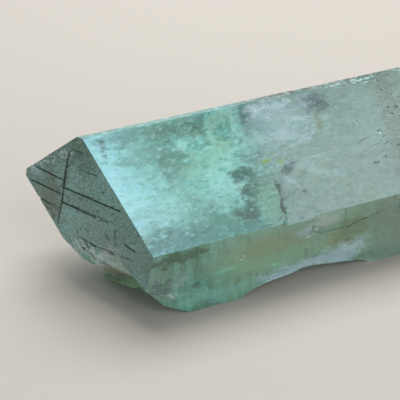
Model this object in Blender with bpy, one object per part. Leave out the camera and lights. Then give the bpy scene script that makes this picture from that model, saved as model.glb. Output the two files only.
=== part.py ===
"""Hiddenite crystal: one prismatic crystal of green spodumene, lying on its broken underside.

The x axis runs along the crystal, from its slanted, etched end face to its broken root. The y axis
runs from the wide main face in front to the back, and z = 0 is the surface that the crystal lies on.
The shape is laid out in millimetres from the top corner of the end face. It starts as flat growth
faces that keep the angles of spodumene, and then takes its breaks, chips, steps and etched lines.
"""

import math
import random

import bmesh
import bpy
from mathutils import Matrix, Vector, noise

MM = 0.001

# Growth form, in millimetres
RIDGE_FRONT = Vector((0.0, 8.94, 25.6))
ROOT_REACH = 66.0
MAIN_FACE_WIDTH = 20.5
TOP_STRIP_WIDTH = 0.93
BACK_FACE_WIDTH = 11.5
UNDER_FACE_SHIFT = 0.9
FAR_EDGE_BLUNTING = 0.85
STOCK_LOW = (-25.0, -25.0, -3.0)
STOCK_HIGH = (ROOT_REACH, 30.0, 35.0)

# Angles between the growth faces of spodumene, in degrees
TOP_TO_PRISM = 46.6
PRISM_TO_SIDE = 43.4

# How far each face's outward direction leans from straight up towards the viewer, in degrees
MAIN_FACE_LEAN = 38.4
TOP_STRIP_LEAN = MAIN_FACE_LEAN - TOP_TO_PRISM
SIDE_FACE_LEAN = MAIN_FACE_LEAN + PRISM_TO_SIDE
BACK_FACE_LEAN = MAIN_FACE_LEAN - 2 * TOP_TO_PRISM
UNDER_FACE_LEAN = MAIN_FACE_LEAN + 180
FAR_SIDE_LEAN = SIDE_FACE_LEAN - 180

# The slanted end face: turned towards the viewer and leaning back, in degrees
END_FACE_TURN = 33.2
END_FACE_LEAN = 16.9

# Width of the waves on the broken surfaces, in millimetres, and the seed of their noise
BREAK_WAVE = 4.0
NOISE_SEED = 5

# Etched lines on the end face: start and end, each as distance down along the edge with the main
# face and distance in from that edge, then width and depth
ETCHED_LINES = (
    ((-2.3, 13.1), (3.0, 8.6), 0.30, 0.30),
    ((-0.7, 15.4), (4.7, 10.6), 0.34, 0.34),
    ((2.6, 15.8), (5.2, 13.8), 0.26, 0.25),
    ((4.1, 15.9), (6.0, 15.0), 0.26, 0.25),
    ((4.3, 9.1), (12.6, 1.1), 0.32, 0.34),
    ((5.7, 11.5), (11.3, 6.3), 0.32, 0.32),
    ((11.7, 5.9), (12.9, 4.6), 0.20, 0.16),
    ((0.2, 4.1), (2.1, 6.8), 0.42, 0.22),
    ((2.1, 6.8), (4.4, 9.7), 0.62, 0.32),
    ((4.4, 9.7), (6.2, 12.0), 0.46, 0.30),
    ((6.2, 12.2), (8.2, 15.0), 0.30, 0.24),
    ((4.4, 3.2), (6.0, 1.4), 0.26, 0.24),
    ((0.4, 2.9), (2.0, 1.4), 0.24, 0.20),
    ((13.7, 10.8), (15.1, 10.0), 0.34, 0.30),
    ((17.2, 4.1), (19.1, 2.8), 0.32, 0.30),
    ((14.5, 4.2), (15.8, 5.3), 0.26, 0.24),
    ((12.9, 11.4), (14.6, 11.6), 0.34, 0.30),
)


def outward(lean):
    """Outward direction of a face that runs along the crystal."""
    angle = math.radians(lean)
    return Vector((0, -math.sin(angle), math.cos(angle)))


def downhill(lean):
    """Direction across a face, away from the ridge and towards the viewer."""
    angle = math.radians(lean)
    return Vector((0, -math.cos(angle), -math.sin(angle)))


def end_face_direction():
    """Outward direction of the slanted end face."""
    turn = math.radians(END_FACE_TURN)
    lean = math.radians(END_FACE_LEAN)
    return Vector((-math.cos(lean) * math.cos(turn), -math.cos(lean) * math.sin(turn), math.sin(lean)))


# Edges that run along the crystal, at the plane x = 0
TOP_BACK_EDGE = RIDGE_FRONT - downhill(TOP_STRIP_LEAN) * TOP_STRIP_WIDTH
FAR_EDGE = TOP_BACK_EDGE - downhill(BACK_FACE_LEAN) * BACK_FACE_WIDTH
FRONT_EDGE = RIDGE_FRONT + downhill(MAIN_FACE_LEAN) * MAIN_FACE_WIDTH

# Axes on the end face: down along its edge with the main face, and in from that edge
END_OUT = end_face_direction()
END_DOWN = outward(MAIN_FACE_LEAN).cross(END_OUT).normalized()
END_IN = END_DOWN.cross(END_OUT)


# Flat breaks below the end face, each by a point on it and its outward direction
RIM_CORNER = Vector((-3.86, 4.29, 6.3))
RIM_BREAK = Vector((-0.82, -0.22, -0.53))
FRONT_RIM_POINT = Vector((3.9, -7.4, 6.9))
FRONT_RIM_BREAK = Vector((-0.80, -0.15, -0.52))
LUMP_TOP = Vector((-0.65, -0.28, 7.2))
LUMP_FACE = Vector((-0.68, -0.72, -0.11))
LUMP_LEFT = Vector((-0.6, 0.05, 4.0))
LUMP_EDGE = Vector((0.03, 0.12, -1.0))
FOOT_CORNER = Vector((6.7, -8.6, 2.9))
FOOT_BREAK = Vector((-0.52, -0.45, -0.73))

# The hollow behind the lower rim of the end face: two places on that rim, and how it runs back
RIM_LEFT = (15.0, 14.6)
RIM_RIGHT = (17.6, 11.7)
HOLLOW_RUN = Vector((0.25, 0.70, -0.67))

# Chips in the rim: place on the end face, height of the ball's centre over it and its radius
RIM_CHIPS = {
    "rim_chip": (16.2, 13.2, 5.6, 6.0),
    "rim_chip_front": (17.6, 9.8, 3.75, 4.0),
}

# The rough blocks that take out the hollows below the end face, by two corners, how uneven their
# sides are and how wide those waves are, and the finest edge of every such uneven side
UNDER_RIM_BLOCK = ((-12.0, -14.0, -4.0), (14.0, 6.0, 14.0))
RIM_HOLLOW_BLOCK = ((-14.0, -6.0, -4.0), (10.0, 18.0, 9.0))
RIM_RELIEF = 0.15
RIM_WAVE = 2.5
CUTTER_EDGE = 3.6

# The narrower crystals below the back, each by its start and end along, its back edge and a seed
LOWER_GROWTHS = {
    "lower_growth": (2.0, 40.0, 11.2, 3),
    "lower_growth_root": (33.0, 64.0, 12.2, 5),
}

# Their cross-section, as (y, z) corners of a block, and the breaks that bound it
GROWTH_LOW = (-6.0, -3.0)
GROWTH_HIGH = (20.0, 9.0)
GROWTH_BEVEL = 3.9
GROWTH_BACK_TOP = 8.6
GROWTH_BACK_FOOT = 3.4
GROWTH_FRONT = (0.0, -2.0, 6.0)
GROWTH_FRONT_BREAK = Vector((0.0, -0.6, 0.8))
GROWTH_END = (5.5, 3.0)
GROWTH_START_BREAK = Vector((-0.85, 0.35, 0.4))
GROWTH_END_BREAK = Vector((0.8, 0.5, 0.3))
GROWTH_RELIEF = 0.5
GROWTH_WAVE = 5.0

# How far shallow cutters reach out over the face that they cut
OVERCUT = 0.15

# Growth lines on each hidden prism face: how many, and the ranges of their start, size and depth
GROWTH_LINE_COUNT = 7
GROWTH_LINE_START = (-2.0, 40.0)
GROWTH_LINE_LENGTH = (8.0, 26.0)
GROWTH_LINE_WIDTH = (0.5, 1.3)
GROWTH_LINE_DEPTH = (0.12, 0.22)

# Wear along the ridge
RIDGE_WEAR_START = 38.0
RIDGE_WEAR = Matrix.Rotation(math.radians(1.5), 3, "Y") @ outward(20.0)

# The broken root, in millimetres: how far its break leans back from the foot to the top, how wide
# its splinters are and how far they stick out, coarse ones first, and how far they bend aside
ROOT_LEAN = 8.0
ROOT_SPLINTERS = ((6.5, 1.7), (2.9, 0.8))
ROOT_BEND = 1.6
ROOT_SHORTEST = 3.0

# The uneven sheets that cut the root and the underside: their spacing and thickness
SHEET_SPACING = 1.5
SHEET_THICKNESS = 12.0

# The uneven underside: its relief, and the patches that the crystal rests on, each by its place
# along and across and its radius
UNDERSIDE_RELIEF = 1.3
LIP_EDGE = -7.6
LIP_SLOPE = 0.5
PATCH_SLOPE = 0.3
RESTING_PATCHES = ((15.0, -7.0, 3.4), (55.0, -6.5, 3.6), (42.0, 5.4, 3.0), (13.0, 4.6, 3.0))

# Shell-like breaks: centre, radii and unevenness. The first ones show below the side face, and the
# rest make up the hidden underside, between the patches that the crystal rests on.
BREAKS = {
    "lump_underside": ((3.8, -3.0, -2.4), (6.5, 7.5, 5.4), 0.15),
    "lip_scoop": ((31.8, -8.5, -1.6), (13.0, 9.0, 4.0), 0.2),
    "lip_flake": ((34.0, -11.6, 3.6), (11.0, 3.6, 3.6), 0.25),
    "lip_flake_end": ((43.5, -11.2, 1.4), (5.0, 3.0, 2.6), 0.25),
    "middle_hollow": ((21.0, 0.5, -4.6), (9.0, 8.0, 6.8), 0.7),
    "middle_shell": ((30.5, 2.5, -6.0), (9.0, 8.5, 7.6), 0.7),
    "far_hollow": ((46.0, -0.5, -5.4), (9.5, 5.6, 7.0), 0.7),
    "root_shell": ((58.0, 2.5, -3.6), (7.5, 7.0, 6.2), 0.7),
    "back_flake": ((30.0, 13.0, 0.0), (9.0, 5.4, 6.5), 0.7),
    "back_chip": ((4.0, 12.0, 1.5), (6.5, 5.0, 6.0), 0.6),
    "back_notch": ((52.0, 12.0, 3.0), (6.0, 5.0, 5.0), 0.6),
    "far_edge_chip": ((21.0, 18.6, 15.0), (5.5, 2.6, 3.6), 0.3),
}

# Pits on the main face: how many there are in the stained band near the root, where its middle is,
# how far they spread along it, how far down the face they reach and their largest radius
PIT_COUNT = 22
PIT_MIDDLE = 50.5
PIT_SPREAD = 2.6
PIT_REACH = 14.0
PIT_RADIUS = 0.42


# Layers lost from the faces. Each has an outline of places along the face and down it, and a
# depth. The main face's step deepens downwards from its top, and both steps fade towards their end.
MAIN_STEP_OUTLINE = (
    (28.2, 22.5), (28.5, 20.9), (27.4, 20.4), (28.1, 19.9), (28.5, 18.7), (28.1, 17.9),
    (28.7, 16.9), (28.3, 15.7), (28.7, 14.6), (29.4, 13.6), (29.2, 12.6), (30.4, 11.4),
    (33.0, 11.0), (36.0, 10.7), (41.0, 10.6), (48.0, 9.8), (50.0, 22.5),
)
MAIN_STEP_DEPTH = 0.4
MAIN_STEP_TOP = 9.6
MAIN_STEP_RISE = 6.0
MAIN_STEP_LEAST = 0.08
MAIN_STEP_END = 50.5
MAIN_STEP_LENGTH = 22.0
SIDE_STEP_OUTLINE = (
    (33.2, -1.5), (33.3, 0.9), (32.7, 2.0), (32.9, 3.1), (34.5, 4.0), (37.0, 3.8),
    (39.3, 4.1), (41.2, 3.4), (43.8, 3.0), (47.0, 2.2), (49.0, -1.5),
)
SIDE_STEP_DEPTH = 0.25
SIDE_STEP_END = 50.0
SIDE_STEP_LENGTH = 17.0
RIDGE_FLAKE_OUTLINE = (
    (50.2, -1.5), (50.6, 0.8), (51.4, 1.8), (51.9, 2.9), (52.7, 4.0), (52.8, 5.3),
    (53.5, 6.8), (55.6, 7.6), (57.4, 9.6), (61.0, 10.3), (70.0, 11.0), (70.0, -1.5),
)
RIDGE_FLAKE_DEPTH = 0.5
LAYER_CLEARANCE = 1.5


def on_end_face(down, inward, lift=0.0):
    return RIDGE_FRONT + END_DOWN * down + END_IN * inward + END_OUT * lift


def on_main_face(along, down, lift=0.0):
    point = RIDGE_FRONT + downhill(MAIN_FACE_LEAN) * down + outward(MAIN_FACE_LEAN) * lift
    return point + Vector((along, 0, 0))


def on_side_face(along, down, lift=0.0):
    point = FRONT_EDGE + downhill(SIDE_FACE_LEAN) * down + outward(SIDE_FACE_LEAN) * lift
    return point + Vector((along, 0, 0))


def on_back_face(along, down, lift=0.0):
    point = TOP_BACK_EDGE - downhill(BACK_FACE_LEAN) * down + outward(BACK_FACE_LEAN) * lift
    return point + Vector((along, 0, 0))


def on_under_face(along, down, lift=0.0):
    edge = FAR_EDGE + outward(UNDER_FACE_LEAN) * UNDER_FACE_SHIFT
    point = edge - downhill(UNDER_FACE_LEAN) * down + outward(UNDER_FACE_LEAN) * lift
    return point + Vector((along, 0, 0))


def block(low, high):
    """A closed box between two corners."""
    shape = bmesh.new()
    bmesh.ops.create_cube(shape, size=1.0)
    size = Vector(high) - Vector(low)
    centre = (Vector(high) + Vector(low)) / 2
    for vert in shape.verts:
        vert.co = centre + Vector((vert.co.x * size.x, vert.co.y * size.y, vert.co.z * size.z))
    return shape


def cleave(shape, point, direction):
    """Cut off everything on the outward side of a plane and close the cut."""
    everything = shape.verts[:] + shape.edges[:] + shape.faces[:]
    cut = bmesh.ops.bisect_plane(
        shape, geom=everything, plane_co=point, plane_no=direction, clear_outer=True)
    rim = [item for item in cut["geom_cut"] if isinstance(item, bmesh.types.BMEdge)]
    bmesh.ops.contextual_create(shape, geom=rim)
    bmesh.ops.recalc_face_normals(shape, faces=shape.faces[:])


def refine(shape, longest):
    """Split edges until none is longer than the given length."""
    bmesh.ops.triangulate(shape, faces=shape.faces[:])
    while True:
        long_edges = [edge for edge in shape.edges if edge.calc_length() > longest]
        if not long_edges:
            return
        bmesh.ops.subdivide_edges(shape, edges=long_edges, cuts=1)
        bmesh.ops.triangulate(shape, faces=shape.faces[:])


def roughen(shape, height, width, seed):
    """Move every point by smooth noise, gently enough that the surface never folds over."""
    offset = Vector((seed * 7.3, seed * 3.1, seed * 5.7))
    for vert in shape.verts:
        place = vert.co / width + offset
        vert.co += (noise.noise_vector(place) + 0.4 * noise.noise_vector(place * 2.3)) * height


def make_object(name, shape):
    """Turn a shape in millimetres into an object in metres."""
    bmesh.ops.scale(shape, vec=(MM, MM, MM), verts=shape.verts[:])
    mesh = bpy.data.meshes.new(name)
    shape.to_mesh(mesh)
    shape.free()
    item = bpy.data.objects.new(name, mesh)
    bpy.context.scene.collection.objects.link(item)
    return item


def combine(body, other, operation, crossing=False):
    """Join another shape to the body or cut it out of it. Crossing says that its pieces overlap."""
    other.hide_render = True
    other.display_type = "WIRE"
    step = body.modifiers.new(other.name, "BOOLEAN")
    step.operation = operation
    step.solver = "EXACT"
    step.use_self = crossing
    step.object = other


def main_crystal():
    """The crystal as it grew: prism faces and slanted end face, with the first flat breaks."""
    shape = block(STOCK_LOW, STOCK_HIGH)
    cleave(shape, RIDGE_FRONT, outward(TOP_STRIP_LEAN))
    cleave(shape, RIDGE_FRONT, outward(MAIN_FACE_LEAN))
    cleave(shape, FRONT_EDGE, outward(SIDE_FACE_LEAN))
    cleave(shape, TOP_BACK_EDGE, outward(BACK_FACE_LEAN))
    cleave(shape, FAR_EDGE + outward(UNDER_FACE_LEAN) * UNDER_FACE_SHIFT, outward(UNDER_FACE_LEAN))
    far_side = FAR_EDGE + Vector((0, UNDER_FACE_SHIFT - FAR_EDGE_BLUNTING, 0))
    cleave(shape, far_side, outward(FAR_SIDE_LEAN))
    cleave(shape, RIDGE_FRONT, END_OUT)
    cleave(shape, RIM_CORNER, RIM_BREAK)
    cleave(shape, FOOT_CORNER, FOOT_BREAK)
    cleave(shape, on_main_face(RIDGE_WEAR_START, 0), RIDGE_WEAR)
    return make_object("crystal", shape)


def under_rim_break():
    """The hollow under the end face: it leaves a lump behind the lower rim of the end face."""
    shape = block(*UNDER_RIM_BLOCK)
    cleave(shape, FRONT_RIM_POINT, -FRONT_RIM_BREAK)
    cleave(shape, LUMP_TOP, -LUMP_FACE)
    refine(shape, CUTTER_EDGE)
    roughen(shape, RIM_RELIEF, RIM_WAVE, seed=8)
    return make_object("under_rim_break", shape)


def rim_hollow():
    """The hollow that runs back and down from the lower rim of the end face, beside the lump."""
    first = on_end_face(*RIM_LEFT)
    second = on_end_face(*RIM_RIGHT)
    shape = block(*RIM_HOLLOW_BLOCK)
    cleave(shape, first, (second - first).cross(HOLLOW_RUN))
    cleave(shape, LUMP_LEFT, LUMP_EDGE.cross(HOLLOW_RUN))
    refine(shape, CUTTER_EDGE)
    roughen(shape, RIM_RELIEF, RIM_WAVE, seed=9)
    return make_object("rim_hollow", shape)


def lower_growth(name, start, end, back_edge, seed):
    """A narrower crystal grown parallel to the first one and broken all over, which carries its back."""
    shape = block((start, *GROWTH_LOW), (end, *GROWTH_HIGH))
    cleave(shape, (0, back_edge - GROWTH_BEVEL, GROWTH_BACK_TOP), outward(BACK_FACE_LEAN))
    cleave(shape, (0, back_edge, GROWTH_BACK_FOOT), outward(UNDER_FACE_LEAN))
    cleave(shape, GROWTH_FRONT, GROWTH_FRONT_BREAK)
    cleave(shape, (start, *GROWTH_END), GROWTH_START_BREAK)
    cleave(shape, (end, *GROWTH_END), GROWTH_END_BREAK)
    refine(shape, CUTTER_EDGE)
    roughen(shape, GROWTH_RELIEF, GROWTH_WAVE, seed)
    return make_object(name, shape)


def scoop(name, centre, radii, unevenness, seed):
    """A shell-like break: an ellipsoid with an uneven surface."""
    shape = bmesh.new()
    bmesh.ops.create_icosphere(shape, subdivisions=4, radius=1.0)
    bmesh.ops.scale(shape, vec=radii, verts=shape.verts[:])
    bmesh.ops.translate(shape, vec=centre, verts=shape.verts[:])
    roughen(shape, unevenness, BREAK_WAVE, seed)
    return make_object(name, shape)


def rim_chip(name, down, inward, height, radius):
    """A round chip in the rim of the end face, by a ball whose centre is above that face."""
    return scoop(name, on_end_face(down, inward, height), (radius, radius, radius), RIM_RELIEF, seed=30)


def boat(shape, start, end, side, out, width, depth):
    """Add a small boat-shaped cutter between two points of a surface."""
    along = (end - start).normalized()
    lift = out * OVERCUT
    deck = [start - side * width / 2 + lift, start + side * width / 2 + lift,
            end + side * width / 2 + lift, end - side * width / 2 + lift]
    keel = [start + along * depth - out * depth, end - along * depth - out * depth]
    verts = [shape.verts.new(point) for point in deck + keel]
    for corners in ((0, 1, 2, 3), (1, 0, 4), (3, 2, 5), (0, 3, 5, 4), (2, 1, 4, 5)):
        shape.faces.new([verts[corner] for corner in corners])


def growth_lines():
    """Long, shallow furrows along the hidden faces, where growth layers ended."""
    rng = random.Random(4)
    shape = bmesh.new()
    for on_face, lean, width in ((on_back_face, BACK_FACE_LEAN, BACK_FACE_WIDTH),
                                 (on_under_face, UNDER_FACE_LEAN, BACK_FACE_WIDTH)):
        for _ in range(GROWTH_LINE_COUNT):
            down = rng.uniform(0.08, 0.92) * width
            start = rng.uniform(*GROWTH_LINE_START)
            end = start + rng.uniform(*GROWTH_LINE_LENGTH)
            out = outward(lean)
            side = Vector((1, 0, 0)).cross(out)
            depth = rng.uniform(*GROWTH_LINE_DEPTH)
            wide = rng.uniform(*GROWTH_LINE_WIDTH)
            boat(shape, on_face(start, down), on_face(end, down), side, out, wide, depth)
    bmesh.ops.recalc_face_normals(shape, faces=shape.faces[:])
    return make_object("growth_lines", shape)


def etched_lines():
    """Straight grooves that etching has opened across the end face."""
    shape = bmesh.new()
    for start, end, width, depth in ETCHED_LINES:
        first = on_end_face(*start)
        last = on_end_face(*end)
        side = END_OUT.cross(last - first).normalized()
        boat(shape, first, last, side, END_OUT, width, depth)
    bmesh.ops.recalc_face_normals(shape, faces=shape.faces[:])
    return make_object("etched_lines", shape)


def plate(name, outline, on_face, depth_at):
    """A cutter that takes a thin layer off a face inside an outline, to a depth that may vary."""
    shape = bmesh.new()
    low = [shape.verts.new(on_face(along, down, -depth_at(along, down))) for along, down in outline]
    high = [shape.verts.new(on_face(along, down, LAYER_CLEARANCE)) for along, down in outline]
    shape.faces.new(low)
    shape.faces.new(high)
    for index in range(len(outline)):
        after = (index + 1) % len(outline)
        shape.faces.new((low[index], low[after], high[after], high[index]))
    bmesh.ops.recalc_face_normals(shape, faces=shape.faces[:])
    bmesh.ops.triangulate(shape, faces=shape.faces[:])
    return make_object(name, shape)


def main_face_step():
    """The low cleavage step that starts with a ragged crack and fades upwards and towards the root."""

    def depth_at(along, down):
        rise = (down - MAIN_STEP_TOP) / MAIN_STEP_RISE
        fade = (MAIN_STEP_END - along) / MAIN_STEP_LENGTH
        return MAIN_STEP_DEPTH * min(max(rise, MAIN_STEP_LEAST), 1.0) * fade

    return plate("main_face_step", MAIN_STEP_OUTLINE, on_main_face, depth_at)


def side_face_step():
    """A thin flake lost from the upper part of the side face, thinning out towards the root."""

    def depth_at(along, down):
        return SIDE_STEP_DEPTH * (SIDE_STEP_END - along) / SIDE_STEP_LENGTH

    return plate("side_face_step", SIDE_STEP_OUTLINE, on_side_face, depth_at)


def ridge_flake():
    """The terrace at the root end of the ridge, where the top layer of the main face has gone."""

    def depth_at(along, down):
        return RIDGE_FLAKE_DEPTH

    return plate("ridge_flake", RIDGE_FLAKE_OUTLINE, on_main_face, depth_at)


def broken_sheet(name, corner, along, across, steps, rise, height_at):
    """A thick sheet whose near side is an uneven break. It cuts off what lies beyond that side."""
    shape = bmesh.new()
    rows = []
    for row in range(steps[0] + 1):
        flat = [corner + along * row * SHEET_SPACING + across * column * SHEET_SPACING
                for column in range(steps[1] + 1)]
        rows.append([shape.verts.new(point + rise * height_at(point)) for point in flat])
    for near, far in zip(rows[:-1], rows[1:]):
        for left in range(steps[1]):
            shape.faces.new((near[left], far[left], far[left + 1], near[left + 1]))
    extruded = bmesh.ops.extrude_face_region(shape, geom=shape.faces[:])
    for item in extruded["geom"]:
        if isinstance(item, bmesh.types.BMVert):
            depth = (item.co - corner).dot(rise)
            item.co -= rise * (depth + SHEET_THICKNESS)
    bmesh.ops.recalc_face_normals(shape, faces=shape.faces[:])
    bmesh.ops.triangulate(shape, faces=shape.faces[:])
    return make_object(name, shape)


def underside_height(point):
    """Height of the uneven underside over the table: nothing at the patches that it rests on."""
    place = Vector((point.x / 9, point.y / 6, 0.5))
    height = UNDERSIDE_RELIEF * (0.55 + noise.noise(place) + 0.5 * noise.noise(place * 2.7))
    height = min(height, LIP_SLOPE * (point.y - LIP_EDGE))
    for along, across, radius in RESTING_PATCHES:
        distance = math.hypot(point.x - along, point.y - across)
        height = min(height, PATCH_SLOPE * (distance - radius))
    return max(height, 0.0)


def root_depth(point):
    """How far short of the full length the root is broken off, at a place in its cross-section."""
    depth = ROOT_SHORTEST + ROOT_LEAN * point.z / RIDGE_FRONT.z
    bent = point + noise.noise_vector(point / BREAK_WAVE) * ROOT_BEND
    for width, step in ROOT_SPLINTERS:
        cell = Vector((bent.dot(downhill(MAIN_FACE_LEAN)), bent.dot(downhill(BACK_FACE_LEAN)), 0))
        depth += step * 2 * (noise.cell(cell / width) - 0.5)
    return depth


def underside_break():
    corner = Vector((-15, -18, 0))
    return broken_sheet("underside_break", corner, Vector((1, 0, 0)), Vector((0, 1, 0)), (60, 28),
                        Vector((0, 0, 1)), underside_height)


def root_break():
    """The splintery root: uneven cleavage splinters, bounded by the prism directions."""
    across = downhill(MAIN_FACE_LEAN)
    back = -downhill(BACK_FACE_LEAN)
    corner = RIDGE_FRONT - across * 10 - back * 6
    corner.x = ROOT_REACH
    return broken_sheet("root_break", corner, across, back, (26, 20), Vector((-1, 0, 0)), root_depth)


def pits():
    """Small ragged pits that etching has left on the main face, in the stained band near the root."""
    rng = random.Random(11)
    shape = bmesh.new()
    for _ in range(PIT_COUNT):
        radius = PIT_RADIUS * rng.uniform(0.4, 1.0)
        place = on_main_face(rng.gauss(PIT_MIDDLE, PIT_SPREAD), rng.uniform(1.0, PIT_REACH), 0.5 * radius)
        turn = Matrix.Rotation(rng.uniform(0, math.pi), 4, outward(MAIN_FACE_LEAN))
        stretch = Matrix.Diagonal((rng.uniform(1.0, 1.9), 1.0, 1.0, 1.0))
        bmesh.ops.create_icosphere(
            shape, subdivisions=1, radius=radius, matrix=Matrix.Translation(place) @ turn @ stretch)
    return make_object("pits", shape)


def spodumene():
    """Pale grey-green crystal with a glassy face."""
    stone = bpy.data.materials.new("hiddenite")
    stone.use_nodes = True
    shader = stone.node_tree.nodes["Principled BSDF"]
    shader.inputs["Base Color"].default_value = (0.30, 0.45, 0.40, 1.0)
    shader.inputs["Roughness"].default_value = 0.3
    shader.inputs["Metallic"].default_value = 0.0
    shader.inputs["IOR"].default_value = 1.66
    return stone


def finish(body):
    """Apply the steps, merge stray points, place the origin under the middle and colour the crystal."""
    bpy.context.view_layer.update()
    graph = bpy.context.evaluated_depsgraph_get()
    mesh = bpy.data.meshes.new_from_object(body.evaluated_get(graph))
    for other in [item for item in bpy.context.scene.objects if item != body]:
        bpy.data.objects.remove(other)
    body.modifiers.clear()

    shape = bmesh.new()
    shape.from_mesh(mesh)
    bmesh.ops.remove_doubles(shape, verts=shape.verts[:], dist=0.005 * MM)
    bmesh.ops.dissolve_limit(
        shape, angle_limit=math.radians(0.4), verts=shape.verts[:], edges=shape.edges[:])
    bmesh.ops.triangulate(shape, faces=shape.faces[:])
    low = Vector([min(vert.co[axis] for vert in shape.verts) for axis in range(3)])
    high = Vector([max(vert.co[axis] for vert in shape.verts) for axis in range(3)])
    middle = (low + high) / 2
    to_origin = Vector((-middle.x, -middle.y, -low.z))
    bmesh.ops.translate(shape, vec=to_origin, verts=shape.verts[:])
    shape.to_mesh(body.data)
    shape.free()
    bpy.data.meshes.remove(mesh)
    body.data.materials.append(spodumene())


def clear_scene():
    for item in list(bpy.data.objects):
        bpy.data.objects.remove(item)


def main():
    clear_scene()
    noise.seed_set(NOISE_SEED)
    body = main_crystal()
    for name, form in LOWER_GROWTHS.items():
        combine(body, lower_growth(name, *form), "UNION")
    cutters = [under_rim_break(), underside_break(), rim_hollow()]
    cutters += [scoop(name, *form, seed) for seed, (name, form) in enumerate(BREAKS.items())]
    cutters += [rim_chip(name, *form) for name, form in RIM_CHIPS.items()]
    cutters += [main_face_step(), side_face_step(), ridge_flake(), root_break()]
    for cutter in cutters:
        combine(body, cutter, "DIFFERENCE")
    for cutter in (etched_lines(), growth_lines(), pits()):
        combine(body, cutter, "DIFFERENCE", crossing=True)
    finish(body)


main()
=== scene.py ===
"""Hiddenite crystal: the finished surface of one prismatic crystal of green spodumene, with its
light and camera. Lengths are in millimetres where a name or a comment says so, else in metres."""

import math

import bmesh
import bpy
import numpy as np
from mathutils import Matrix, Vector


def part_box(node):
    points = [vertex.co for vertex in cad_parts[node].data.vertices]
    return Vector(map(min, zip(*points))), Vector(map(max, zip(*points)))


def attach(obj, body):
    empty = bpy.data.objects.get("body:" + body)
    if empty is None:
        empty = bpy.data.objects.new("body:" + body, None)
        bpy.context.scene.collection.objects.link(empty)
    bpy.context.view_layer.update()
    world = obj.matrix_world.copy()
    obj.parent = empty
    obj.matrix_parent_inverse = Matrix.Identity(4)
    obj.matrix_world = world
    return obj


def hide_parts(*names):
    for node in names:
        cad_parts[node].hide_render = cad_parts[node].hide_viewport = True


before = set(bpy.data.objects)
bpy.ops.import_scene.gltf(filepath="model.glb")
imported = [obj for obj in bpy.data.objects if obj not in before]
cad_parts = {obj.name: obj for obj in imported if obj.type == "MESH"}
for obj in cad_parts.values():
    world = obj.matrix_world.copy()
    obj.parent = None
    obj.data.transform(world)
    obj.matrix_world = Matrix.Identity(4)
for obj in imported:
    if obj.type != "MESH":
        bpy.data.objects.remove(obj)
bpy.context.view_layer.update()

bl_info = {
    "name": "Hiddenite crystal",
    "version": (1, 0, 0),
    "blender": (4, 5, 0),
    "location": "3D View > Sidebar > Hiddenite",
    "description": "Builds the surface of a hiddenite crystal around its solid",
    "category": "Object",
}

MM = 0.001
CRYSTAL_LOW, CRYSTAL_HIGH = (Vector(corner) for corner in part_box("crystal"))

# The top corner of the end face, from the lowest corner of the crystal's box, in millimetres
CORNER_FROM_BOX = Vector((8.77, 17.91, 25.6))
TOP_CORNER = CRYSTAL_LOW / MM + CORNER_FROM_BOX

# How far each growth face's outward direction leans from straight up towards the viewer, in degrees
MAIN_FACE_LEAN = 38.4
SIDE_FACE_LEAN = 81.8
TOP_STRIP_LEAN = -8.2
BACK_FACE_LEAN = -54.8
UNDER_FACE_LEAN = 218.4
MAIN_FACE_WIDTH = 20.5
TOP_STRIP_WIDTH = 0.93
BACK_FACE_WIDTH = 11.5
UNDER_FACE_SHIFT = 0.9
END_FACE_TURN = 33.2
END_FACE_LEAN = 16.9


# The point that the camera looks at, in millimetres
LOOK_AT = TOP_CORNER + Vector((16.06, -8.94, -10.09))


def outward(lean):
    angle = math.radians(lean)
    return Vector((0, -math.sin(angle), math.cos(angle)))


def downhill(lean):
    angle = math.radians(lean)
    return Vector((0, -math.cos(angle), -math.sin(angle)))


def end_face_direction():
    turn = math.radians(END_FACE_TURN)
    lean = math.radians(END_FACE_LEAN)
    return Vector((-math.cos(lean) * math.cos(turn), -math.cos(lean) * math.sin(turn), math.sin(lean)))


END_OUT = end_face_direction()
END_DOWN = outward(MAIN_FACE_LEAN).cross(END_OUT).normalized()
END_IN = END_DOWN.cross(END_OUT)
FRONT_EDGE = TOP_CORNER + downhill(MAIN_FACE_LEAN) * MAIN_FACE_WIDTH
BACK_EDGE = TOP_CORNER - downhill(TOP_STRIP_LEAN) * TOP_STRIP_WIDTH
UNDER_EDGE = BACK_EDGE - downhill(BACK_FACE_LEAN) * BACK_FACE_WIDTH + outward(UNDER_FACE_LEAN) * UNDER_FACE_SHIFT


def on_main_face(along, down, lift=0.0):
    return TOP_CORNER + Vector((along, 0, 0)) + downhill(MAIN_FACE_LEAN) * down + outward(MAIN_FACE_LEAN) * lift


def on_side_face(along, down, lift=0.0):
    return FRONT_EDGE + Vector((along, 0, 0)) + downhill(SIDE_FACE_LEAN) * down + outward(SIDE_FACE_LEAN) * lift


def on_end_face(down, inward, lift=0.0):
    return TOP_CORNER + END_DOWN * down + END_IN * inward + END_OUT * lift


def on_break(along, height):
    return Vector((TOP_CORNER.x + along, 0, height))


def linear(hex_colour):
    """An sRGB hex colour as the linear colour that a socket takes."""
    parts = [int(hex_colour[place:place + 2], 16) / 255 for place in (1, 3, 5)]
    return tuple(part / 12.92 if part <= 0.04045 else ((part + 0.055) / 1.055) ** 2.4 for part in parts) + (1.0,)


def add(tree, kind, inputs=None, **settings):
    """Add a node with its settings. An input takes a value or the output socket that feeds it."""
    node = tree.nodes.new(kind)
    for name, value in settings.items():
        setattr(node, name, value)
    for name, value in (inputs or {}).items():
        if isinstance(value, bpy.types.NodeSocket):
            tree.links.new(value, node.inputs[name])
        else:
            node.inputs[name].default_value = value
    return node


# The finish of the crystal's surface

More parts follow.
